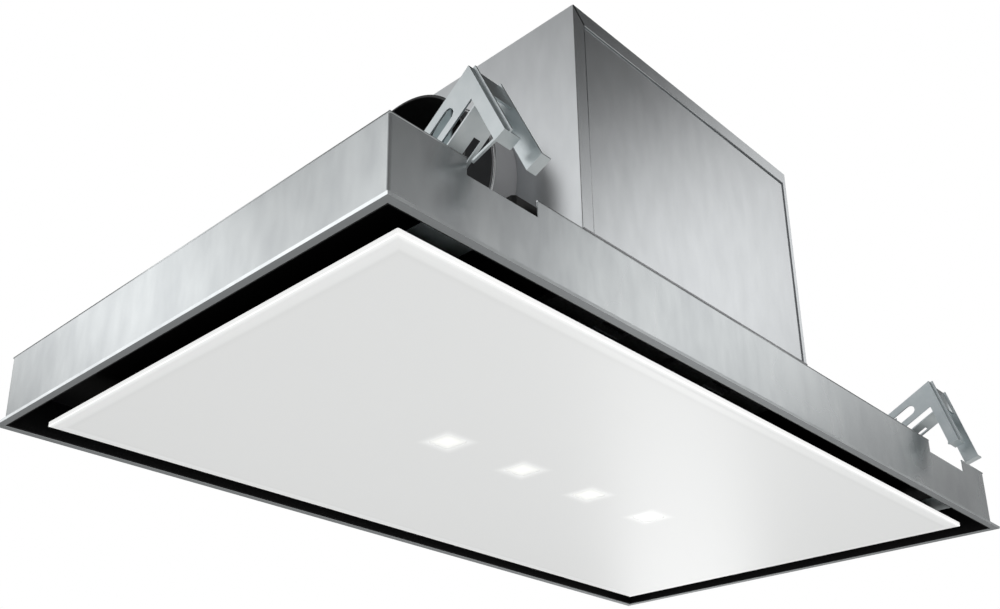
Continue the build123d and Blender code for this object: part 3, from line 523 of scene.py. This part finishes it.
def screw_tree():
    """A flanged hexagon screw head on every point."""
    tree, given = start_tree("Hexagon screws", (("Head radius", 0.004), ("Head height", 0.002),
                                                ("Flange radius", 0.005),
                                                ("Flange height", 0.0006)))
    flange = add(tree, "GeometryNodeMeshCone",
                 {"Vertices": 28, "Radius Bottom": given["Flange radius"],
                  "Radius Top": given["Head radius"], "Depth": given["Flange height"]})
    crown = add(tree, "ShaderNodeMath", {0: given["Head radius"], 1: 0.86}, operation="MULTIPLY")
    shank = add(tree, "GeometryNodeMeshCylinder",
                {"Vertices": 6, "Radius": given["Head radius"], "Depth": given["Head height"]})
    half = add(tree, "ShaderNodeMath", {0: given["Head height"], 1: 0.5}, operation="MULTIPLY")
    up = add(tree, "ShaderNodeCombineXYZ", {"Z": half.outputs[0]})
    body = add(tree, "GeometryNodeTransform", {0: shank.outputs[0], "Translation": up.outputs[0]})
    cap = add(tree, "GeometryNodeMeshCone", {"Vertices": 6, "Radius Bottom": given["Head radius"],
                                             "Radius Top": crown.outputs[0],
                                             "Depth": given["Flange height"]})
    top = add(tree, "ShaderNodeCombineXYZ", {"Z": given["Head height"]})
    cap = add(tree, "GeometryNodeTransform", {0: cap.outputs[0], "Translation": top.outputs[0]})
    whole = add(tree, "GeometryNodeJoinGeometry")
    for part in (flange, body, cap):
        tree.links.new(part.outputs[0], whole.inputs[0])
    placed = add(tree, "GeometryNodeInstanceOnPoints", {0: given["Geometry"],
                                                        "Instance": whole.outputs[0]})
    end_tree(tree, placed.outputs[0], given)
    return tree


def mesh_tree():
    """Expanded aluminium mesh: rows of diamond strands that meet at their corners."""
    tree, given = start_tree("Expanded mesh", (("Length", 0.1), ("Width", 0.2),
                                               ("Diamond length", 0.006),
                                               ("Diamond width", 0.009), ("Strand", 0.0012)))
    counts = []
    for size, step in (("Length", "Diamond length"), ("Width", "Diamond width")):
        share = add(tree, "ShaderNodeMath", {0: given[size], 1: given[step]}, operation="DIVIDE")
        counts.append(add(tree, "ShaderNodeMath", {0: share.outputs[0]}, operation="FLOOR"))
    grid = add(tree, "GeometryNodeMeshGrid", {"Size X": given["Length"], "Size Y": given["Width"],
                                              "Vertices X": counts[0].outputs[0],
                                              "Vertices Y": counts[1].outputs[0]})
    overlap = 0.52  # just over half a step, so that neighbours meet
    half = add(tree, "ShaderNodeMath", {0: given["Diamond length"], 1: overlap},
               operation="MULTIPLY")
    tall = add(tree, "ShaderNodeMath", {0: given["Diamond width"], 1: overlap},
               operation="MULTIPLY")
    ring = add(tree, "GeometryNodeCurvePrimitiveCircle", {"Resolution": 4, "Radius": 1.0})
    shape = add(tree, "ShaderNodeCombineXYZ", {"X": half.outputs[0], "Y": tall.outputs[0],
                                               "Z": 1.0})
    diamond = add(tree, "GeometryNodeTransform", {0: ring.outputs[0], "Scale": shape.outputs[0]})
    strand = add(tree, "GeometryNodeCurvePrimitiveQuadrilateral",
                 {"Width": given["Strand"], "Height": given["Strand"]})
    wire = add(tree, "GeometryNodeCurveToMesh", {0: diamond.outputs[0], 1: strand.outputs[0]})
    placed = add(tree, "GeometryNodeInstanceOnPoints", {0: grid.outputs[0],
                                                        "Instance": wire.outputs[0]})
    layers = add(tree, "GeometryNodeInstanceOnPoints", {0: given["Geometry"],
                                                        "Instance": placed.outputs[0]})
    end_tree(tree, layers.outputs[0], given)
    return tree


def points(name, places):
    """A mesh of loose points."""
    mesh = bpy.data.meshes.new(name)
    mesh.from_pydata([tuple(p) for p in places], [], [])
    return mesh


# ---------------------------------------------------------------- sizes a user may change
class HoodSizes(bpy.types.PropertyGroup):
    """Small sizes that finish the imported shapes."""

    fold: FloatProperty(name="Fold radius", description="Outer radius of the folded sheet edges",
                        default=0.6 * MM, min=0.0, unit="LENGTH")
    hem: FloatProperty(name="Flange hem", description="Height of the folded edge of the flange",
                       default=2.2 * MM, min=0.1 * MM, unit="LENGTH")
    clamp_edge: FloatProperty(name="Clamp edge", description="Rolled edge of the pressed clamps",
                              default=0.35 * MM, min=0.0, unit="LENGTH")
    glass_edge: FloatProperty(name="Glass edge", description="Polished edge radius of the panel",
                              default=0.5 * MM, min=0.0, unit="LENGTH")
    glass_corner: FloatProperty(name="Glass corner", description="Clip of the panel's four corners",
                                default=GLASS_CORNER, min=0.0, max=GLASS_CLIP, unit="LENGTH")
    diamond: FloatProperty(name="Filter diamond", description="Width of one opening of the mesh",
                           default=8.0 * MM, min=0.001, unit="LENGTH")
    strand: FloatProperty(name="Filter strand", description="Thickness of the mesh strands",
                          default=1.3 * MM, min=0.0001, unit="LENGTH")
    round_steps: IntProperty(name="Round steps", description="Sides of the large turned pieces",
                             default=96, min=24)


class HoodStage(bpy.types.PropertyGroup):
    """Studio round the hood."""

    floor_drop: FloatProperty(name="Floor below", description="Distance down to the studio floor",
                              default=2.2, min=0.5, unit="LENGTH")
    key_power: FloatProperty(name="Side lamp", description="Power of the large lamp at the left",
                             default=4.5, min=0.0, unit="POWER")
    lift_power: FloatProperty(name="Low lamp", description="Power of the wide lamp under the hood",
                              default=22.0, min=0.0, unit="POWER")
    strip_power: FloatProperty(name="Strip lamp",
                               description="Power of the strip the panel mirrors",
                               default=4.2, min=0.0, unit="POWER")
    floor_colour: FloatVectorProperty(name="Floor", description="Colour of the studio floor",
                                      default=linear("#F2F2F0")[:3], subtype="COLOR")


# ---------------------------------------------------------------- studio
FLOOR_GLOW = 0.15   # what the floor gives to everything
FLOOR_PALE = 0.3    # and what it shows the camera on top
ROOM_LIGHT = 0.36   # even light of the room on everything that isn't a mirror

# What the metal mirrors. Levels: the height where the darkening starts and ends (as the sine of the
# rise), and the strength below and above, first of the room and then of the screen.
ROOM_LEVELS = ((0.56, 0.68, 0.60, 0.10), (0.56, 0.63, 0.29, 0.04))
# Cards: compass turn, rise, outer and inner angle in degrees, and the strength where there is one.
SCREEN = (-33, 32, 75, 45)
FLAGS = ((3, 32, 22, 10, 0.12), (-135, 25, 38, 22, 0.15), (70, 25, 34, 24, 0.15),
         (109, 19, 10, 3, 0.3), (126, 32, 7, 0, 0.4), (146, 48, 13, 5, 0.1))
SOFT_BOXES = ((-31.3, 27.7, 10.9, 0, 1.14), (-47, 33, 6, 0, 0.1), (22, 21, 16, 5, 0.85),
              (119, 27, 9, 0, 0.95), (140, 31, 12, 2, 0.5), (-42, -3, 14, 5, 0.8),
              (132, 0, 22, 8, 1.0))


# ---------------------------------------------------------------- pieces
class HOOD_OT_plain(bpy.types.Operator):
    """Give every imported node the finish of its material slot"""

    bl_idname = "hood.plain"
    bl_label = "Finishes"

    def execute(self, context):
        for name, node in NODES.items():
            finish = "box_sheet" if name in BOX_SHEETS else SLOT_OF[name]
            node.data.materials.clear()
            node.data.materials.append(FINISHES[finish])
        return {"FINISHED"}


class HOOD_OT_tray(bpy.types.Operator):
    """Fold the tray, its deck and its black liner"""

    bl_idname = "hood.tray"
    bl_label = "Tray"

    def execute(self, context):
        sizes = context.scene.hood_sizes
        shell = softened("tray_shell", 0.35, bend_mm=2.2)
        self.flange_hem(shell.data, sizes.hem)
        self.rim_hem(0.8 * MM)
        softened("tray_deck", sizes.fold / MM)
        softened("inner_liner", 0.4)
        return {"FINISHED"}

    def flange_hem(self, shell, hem):
        """Draws the flange's edge in by the hem, and folds a rounded hem round it."""
        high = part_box("tray_shell")[1]
        for vertex in shell.vertices:
            for axis in (0, 1):
                if abs(vertex.co[axis]) > high[axis] - 0.5 * hem:
                    vertex.co[axis] -= hem if vertex.co[axis] > 0 else -hem
        profile = [(0.0, hem), (0.28 * hem, 0.0), (1.1 * hem, 0.01 * MM), (1.1 * hem, hem)]
        spots = [(a * (high.x - inset), b * (high.y - inset), z)
                 for a, b in ((-1, -1), (1, -1), (1, 1), (-1, 1)) for inset, z in profile]
        sides = []
        for corner in range(4):
            here, after = 4 * corner, 4 * ((corner + 1) % 4)
            for j in range(4):
                k = (j + 1) % 4
                sides.append((here + j, after + j, after + k, here + k))
        mesh = bpy.data.meshes.new("flange_hem")
        mesh.from_pydata(spots, [], sides)
        show("flange_hem", mesh, body_of("tray_shell"), SLOT_OF["tray_shell"])

    def rim_hem(self, radius):
        """Rolls the top edge of the tray's walls; the bead follows the walls' outer top edges."""
        near = 0.01 * MM
        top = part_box("tray_shell")[1].z
        shape = merged("tray_shell")
        level = [[v.co.copy() for v in e.verts] for e in shape.edges
                 if min(v.co.z for v in e.verts) > top - near]
        shape.free()
        rim = [max(abs(p[axis]) for run in level for p in run) for axis in (0, 1)]
        runs = []
        for run in level:
            for axis in (0, 1):
                if all(abs(abs(p[axis]) - rim[axis]) < near and p[axis] * run[0][axis] > 0
                       for p in run):
                    inward = Vector((0.0, 0.0, -radius))
                    inward[axis] = -0.5 * MM if run[0][axis] > 0 else 0.5 * MM
                    runs.append([p + inward for p in run])
        bead("rim_hem", runs, radius, body_of("tray_shell"), SLOT_OF["tray_shell"])


class HOOD_OT_panel(bpy.types.Operator):
    """Polish the glass and fold the carrier behind it"""

    bl_idname = "hood.panel"
    bl_label = "Panel"

    def execute(self, context):
        sizes = context.scene.hood_sizes
        glass = softened("glass_panel", sizes.glass_edge / MM, angle=6)
        low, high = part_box("glass_panel")
        middle, half = (low + high) / 2, (high - low) / 2
        for vertex in glass.data.vertices:
            off = vertex.co - middle
            inset = [half[axis] - abs(off[axis]) for axis in (0, 1)]
            if max(inset) < 1.3 * GLASS_CLIP:  # at a corner: make its clip smaller
                for axis in (0, 1):
                    side = 1 if off[axis] > 0 else -1
                    vertex.co[axis] += side * inset[axis] * (1 - sizes.glass_corner / GLASS_CLIP)
        softened("panel_carrier", 0.4)
        for node in ("hinge_brackets", "catch_magnets", "catch_plates"):
            softened(node, 0.3)
        return {"FINISHED"}


class HOOD_OT_lights(bpy.types.Operator):
    """Form the lenses and the light modules with their fins"""

    bl_idname = "hood.lights"
    bl_label = "Lights"

    def execute(self, context):
        softened("light_lenses", 0.1)
        softened("light_modules", 0.3)
        return {"FINISHED"}


class HOOD_OT_box(bpy.types.Operator):
    """Fold the motor box and its front cover"""

    bl_idname = "hood.box"
    bl_label = "Motor box"

    def execute(self, context):
        softened("motor_box", 0.5, bend_mm=1.6)
        softened("box_cover", 0.3)
        low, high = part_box("motor_box")
        front, left, top = low.y, low.x, high.z
        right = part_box("box_cover")[1].x + 1.2 * MM
        body, slot = body_of("motor_box"), SLOT_OF["motor_box"]
        y = front + 0.2 * MM
        inner_left, inner_top = left + 13 * MM, top - 12 * MM  # edges of the front's raised border
        inner = [(inner_left, y, low.z + 13 * MM), (inner_left, y, inner_top),
                 (right - 5 * MM, y, inner_top)]
        bead("border_edge", zip(inner, inner[1:]), 0.45 * MM, body, slot, "box_sheet")
        # painted shadow: a black rod laid along the mitre's slit at the front's top left corner
        corner = (left + 0.5 * MM, y, top - 0.5 * MM)
        bead("mitre_shadow_rod", [(corner, inner[1])], 0.7 * MM, body, SLOT_OF["cable_gland"],
             "black_plastic")
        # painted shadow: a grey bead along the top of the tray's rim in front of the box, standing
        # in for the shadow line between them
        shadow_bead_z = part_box("tray_shell")[1].z + 1.2 * MM
        bead("rim_shadow_bead", [((left + 1 * MM, front, shadow_bead_z), (right - 1 * MM, front, shadow_bead_z))], 1.1 * MM,
             body, SLOT_OF["cable_gland"], "collar_plastic")
        return {"FINISHED"}


class HOOD_OT_outlet(bpy.types.Operator):
    """Turn the outlet collar and the ring that stops the duct on it"""

    bl_idname = "hood.outlet"
    bl_label = "Outlet"

    def execute(self, context):
        low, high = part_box("outlet_spigot")
        ring_low, ring_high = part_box("stop_ring")
        wall_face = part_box("motor_box")[0].x + 0.9 * MM
        flange = (high.y - low.y) / 2
        outer = flange - 7 * MM
        inner = outer - 2 * MM
        step = outer + 1 * MM
        slot = SLOT_OF["outlet_spigot"]
        self.turn(context, "outlet_spout", "outlet_spigot", slot, [
            (low.x, inner), (low.x, outer - 0.6 * MM), (low.x + 0.6 * MM, outer),
            (ring_low.x, outer), (ring_low.x, inner)])
        self.turn(context, "outlet_collar", "outlet_spigot", slot, [
            (ring_low.x, inner), (ring_low.x, step), (wall_face, step), (wall_face, flange),
            (high.x, flange), (high.x, inner)], ("outlet_spigot",), "collar_plastic")
        # painted shade: a black sleeve lines the bore of the grey collar so that the inside of the
        # outlet shows dark
        lip, shade_lining_radius = low.x + 0.4 * MM, inner - 0.3 * MM
        self.turn(context, "outlet_shade_sleeve", "outlet_spigot", SLOT_OF["damper_flap_1"], [
            (lip, inner), (high.x, inner), (high.x, shade_lining_radius), (lip, shade_lining_radius)])
        middle, half = (ring_low.x + ring_high.x) / 2, (ring_high.x - ring_low.x) / 2
        reach = (ring_high.y - ring_low.y) / 2
        crown = [(middle - half * cos(pi * i / 8), reach - half + half * sin(pi * i / 8))
                 for i in range(9)]
        # the ring takes the paler zinc; its extra brightness is a painted highlight
        self.turn(context, "outlet_ring", "stop_ring", SLOT_OF["stop_ring"], [
            (ring_low.x, step), *crown, (ring_high.x, step)], ("stop_ring",), "ring_zinc_painted_highlight")
        for node in ("damper_flap_1", "damper_flap_2"):
            softened(node, 0.25, angle=40)
        return {"FINISHED"}

    def turn(self, context, name, node, slot, profile, replaces=(), finish=None):
        """A ring round the outlet's axis, on the body of a node, from (x, radius) points."""
        low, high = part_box("outlet_spigot")
        centre = Vector((0.0, (low.y + high.y) / 2, (low.z + high.z) / 2))
        mesh = turned(profile, centre, (1, 0, 0), context.scene.hood_sizes.round_steps)
        show(name, mesh, body_of(node), slot, replaces, finish)


class HOOD_OT_clamps(bpy.types.Operator):
    """Press the fold-out clamps and their brackets"""

    bl_idname = "hood.clamps"
    bl_label = "Clamps"

    def execute(self, context):
        edge = context.scene.hood_sizes.clamp_edge / MM
        for number in range(1, 5):
            softened(f"clamp_{number}", edge, angle=35)
        # the bases take the darker zinc copy: a painted shade behind the clamps
        softened("clamp_bases", 0.3, angle=35, finish="dull_zinc_painted_shade")
        softened("clamp_bolts", 0.3, angle=50)
        return {"FINISHED"}


class HOOD_OT_screws(bpy.types.Operator):
    """Set hexagon screws in the box feet, the clamp brackets and the control lid"""

    bl_idname = "hood.screws"
    bl_label = "Screws"

    def execute(self, context):
        tree = screw_tree()
        for node in ("box_screws", "base_screws", "lid_screws"):
            found = islands(node)
            places = [((a.x + b.x) / 2, (a.y + b.y) / 2, a.z) for a, b in found]
            grown(node + "_heads", points(node, places), tree, body_of(node), SLOT_OF[node],
                  (node,))
        return {"FINISHED"}


class HOOD_OT_filters(bpy.types.Operator):
    """Weave the grease filters in their frames"""

    bl_idname = "hood.filters"
    bl_label = "Filters"

    def execute(self, context):
        sizes = context.scene.hood_sizes
        tree = mesh_tree()
        for number in (1, 2):
            node = f"filter_mesh_{number}"
            low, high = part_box(node)
            middle = (low + high) / 2
            layers = [(middle.x, middle.y, middle.z + s * 1.2 * MM) for s in (-1, 1)]
            grown(node + "_weave", points(node, layers), tree, body_of(node), SLOT_OF[node],
                  (node,), **{"Length": high.x - low.x - 4 * MM, "Width": high.y - low.y - 6 * MM,
                              "Diamond length": sizes.diamond * 0.7, "Diamond width": sizes.diamond,
                              "Strand": sizes.strand})
            softened(f"filter_frame_{number}", 0.5)
            softened(f"filter_latch_{number}", 0.4)
        return {"FINISHED"}


class HOOD_OT_controls(bpy.types.Operator):
    """Mould the electrical housings on the deck"""

    bl_idname = "hood.controls"
    bl_label = "Controls"

    def execute(self, context):
        for node in ("terminal_box", "control_box", "control_lid", "light_driver"):
            softened(node, 0.8, steps=3)
        softened("cable_gland", 0.4, angle=35)
        return {"FINISHED"}


class HOOD_OT_stage(bpy.types.Operator):
    """Set the studio: floor, lamps, world and camera"""

    bl_idname = "hood.stage"
    bl_label = "Studio"

    def execute(self, context):
        stage = context.scene.hood_stage
        self.floor(context, stage)
        self.lamp(context, "side_lamp", (-2.6, 0.9, 1.1), 2.4, stage.key_power)
        self.lamp(context, "low_lamp", (0.0, -0.3, -1.8), 2.4, stage.lift_power)
        self.lamp(context, "strip_lamp", (2.82, 1.70, -1.15), 2.1, stage.strip_power, 0.52)
        self.world(context)
        self.camera(context)
        return {"FINISHED"}

    def floor(self, context, stage):
        """A pale floor far below. The camera sees through it from beneath, so that the hood shows
        in steep views from there."""
        shape = bmesh.new()
        bmesh.ops.create_grid(shape, x_segments=1, y_segments=1, size=9.0)
        bmesh.ops.translate(shape, verts=shape.verts, vec=(0, 0, -stage.floor_drop))
        mesh = kept(shape, "studio_floor")
        floor = bpy.data.objects.new("studio_floor", mesh)
        context.scene.collection.objects.link(floor)
        paint, tree, shader, _ = start_material("Matt studio floor", Roughness=0.9)
        shader.inputs["Base Color"].default_value = [*stage.floor_colour, 1.0]
        shader.inputs["Emission Color"].default_value = linear("#FFFFFF")
        seen = add(tree, "ShaderNodeLightPath").outputs["Is Camera Ray"]
        pale = add(tree, "ShaderNodeMath", {0: seen, 1: FLOOR_PALE, 2: FLOOR_GLOW},
                   operation="MULTIPLY_ADD")
        tree.links.new(pale.outputs[0], shader.inputs["Emission Strength"])
        beneath = add(tree, "ShaderNodeNewGeometry").outputs["Backfacing"]
        beneath = add(tree, "ShaderNodeMath", {0: seen, 1: beneath}, operation="MULTIPLY")
        clear = add(tree, "ShaderNodeBsdfTransparent")
        seen_through = add(tree, "ShaderNodeMixShader", {0: beneath.outputs[0],
                                                         1: shader.outputs[0],
                                                         2: clear.outputs[0]})
        tree.links.new(seen_through.outputs[0], tree.get_output_node("ALL").inputs["Surface"])
        mesh.materials.append(paint)

    def lamp(self, context, name, place, size, power, width=None):
        """A round soft box, or an upright strip if it has a width, that faces the hood."""
        light = bpy.data.lights.new(name, "AREA")
        light.shape = "RECTANGLE" if width else "DISK"
        light.size, light.size_y, light.energy = width or size, size, power
        lamp = bpy.data.objects.new(name, light)
        lamp.location = place
        aim = Vector((0, 0, 0.05)) - Vector(place)
        lamp.rotation_euler = aim.to_track_quat("-Z", "Y").to_euler()
        lamp.visible_camera = False
        lamp.visible_glossy = name != "low_lamp"
        context.scene.collection.objects.link(lamp)

    def world(self, context):
        """White behind the hood; for the metal a pale room that darkens upwards, with a dark screen
        towards +X-Y, and with the flags and soft boxes of the tables above."""
        world = bpy.data.worlds.new("Studio")
        context.scene.world = world
        world.use_nodes = True
        tree = world.node_tree
        tree.nodes.clear()
        way = add(tree, "ShaderNodeTexCoord").outputs["Generated"]

        def card(turn, rise, outer, inner):
            """1 within the inner angle of a compass turn and rise, 0 beyond the outer one."""
            flat = cos(radians(rise))
            middle = (flat * cos(radians(turn)), flat * sin(radians(turn)), sin(radians(rise)))
            facing = add(tree, "ShaderNodeVectorMath", {0: way, 1: middle},
                         operation="DOT_PRODUCT")
            return add(tree, "ShaderNodeMapRange",
                       {"Value": facing.outputs["Value"], "From Min": cos(radians(outer)),
                        "From Max": cos(radians(inner))},
                       interpolation_type="SMOOTHSTEP").outputs[0]

        height = add(tree, "ShaderNodeSeparateXYZ", {"Vector": way}).outputs["Z"]
        room, screen = (add(tree, "ShaderNodeMapRange", {
            "Value": height, "From Min": start, "From Max": end, "To Min": low, "To Max": high})
            for start, end, low, high in ROOM_LEVELS)
        level = add(tree, "ShaderNodeMix", {0: card(*SCREEN), 2: room.outputs[0],
                                            3: screen.outputs[0]})
        for *place, strength in FLAGS:
            level = add(tree, "ShaderNodeMix", {0: card(*place), 2: level.outputs[0], 3: strength})
        for *place, strength in SOFT_BOXES:
            level = add(tree, "ShaderNodeMath", {0: card(*place), 1: strength, 2: level.outputs[0]},
                        operation="MULTIPLY_ADD")
        ray = add(tree, "ShaderNodeLightPath")
        glossy = add(tree, "ShaderNodeMix", {0: ray.outputs["Is Glossy Ray"], 2: ROOM_LIGHT,
                                             3: level.outputs[0]})
        open_ray = add(tree, "ShaderNodeMath", {0: ray.outputs["Is Camera Ray"],
                                                1: ray.outputs["Is Transmission Ray"]},
                       operation="MAXIMUM")
        level = add(tree, "ShaderNodeMix", {0: open_ray.outputs[0], 2: glossy.outputs[0], 3: 1.0})
        glow = add(tree, "ShaderNodeBackground", {"Color": (1, 1, 1, 1),
                                                  "Strength": level.outputs[0]})
        add(tree, "ShaderNodeOutputWorld", {"Surface": glow.outputs[0]})

    def camera(self, context):
        """Stands left of and below the hood, and looks up along its diagonal."""
        lens = bpy.data.cameras.new("camera")
        lens.lens, lens.sensor_width = 42.24, 36.0
        lens.shift_x, lens.shift_y = 0.044, 0.15
        lens.clip_start, lens.clip_end = 0.01, 60.0
        camera = bpy.data.objects.new("camera", lens)
        camera.location = (-0.8334, -0.6827, -0.3847)
        tilt_up, turn = 21.14, -45.466
        camera.rotation_euler = (radians(90 + tilt_up), 0.0, radians(turn))
        context.scene.collection.objects.link(camera)
        context.scene.camera = camera
        context.scene.view_settings.view_transform = "Standard"


class HOOD_PT_panel(bpy.types.Panel):
    """The hood's pieces, in the order they are built"""

    bl_label = "Ceiling range hood"
    bl_idname = "HOOD_PT_panel"
    bl_space_type = "VIEW_3D"
    bl_region_type = "UI"
    bl_category = "Hood"

    def draw(self, context):
        for group in (context.scene.hood_sizes, context.scene.hood_stage):
            for key in group.bl_rna.properties.keys():
                if key not in ("rna_type", "name"):
                    self.layout.prop(group, key)
        for step in STEPS:
            self.layout.operator(step.bl_idname)


STEPS = (HOOD_OT_stage, HOOD_OT_plain, HOOD_OT_tray, HOOD_OT_panel, HOOD_OT_lights, HOOD_OT_box,
         HOOD_OT_outlet, HOOD_OT_clamps, HOOD_OT_screws, HOOD_OT_filters, HOOD_OT_controls)
CLASSES = (HoodSizes, HoodStage, *STEPS, HOOD_PT_panel)


def register():
    for cls in CLASSES:
        bpy.utils.register_class(cls)
    bpy.types.Scene.hood_sizes = PointerProperty(type=HoodSizes)
    bpy.types.Scene.hood_stage = PointerProperty(type=HoodStage)


def unregister():
    del bpy.types.Scene.hood_stage
    del bpy.types.Scene.hood_sizes
    for cls in reversed(CLASSES):
        bpy.utils.unregister_class(cls)


def main():
    """Builds every piece."""
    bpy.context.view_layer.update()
    register()
    for step in STEPS:
        group, name = step.bl_idname.split(".")
        getattr(getattr(bpy.ops, group), name)()


if __name__ == "__main__":
    main()
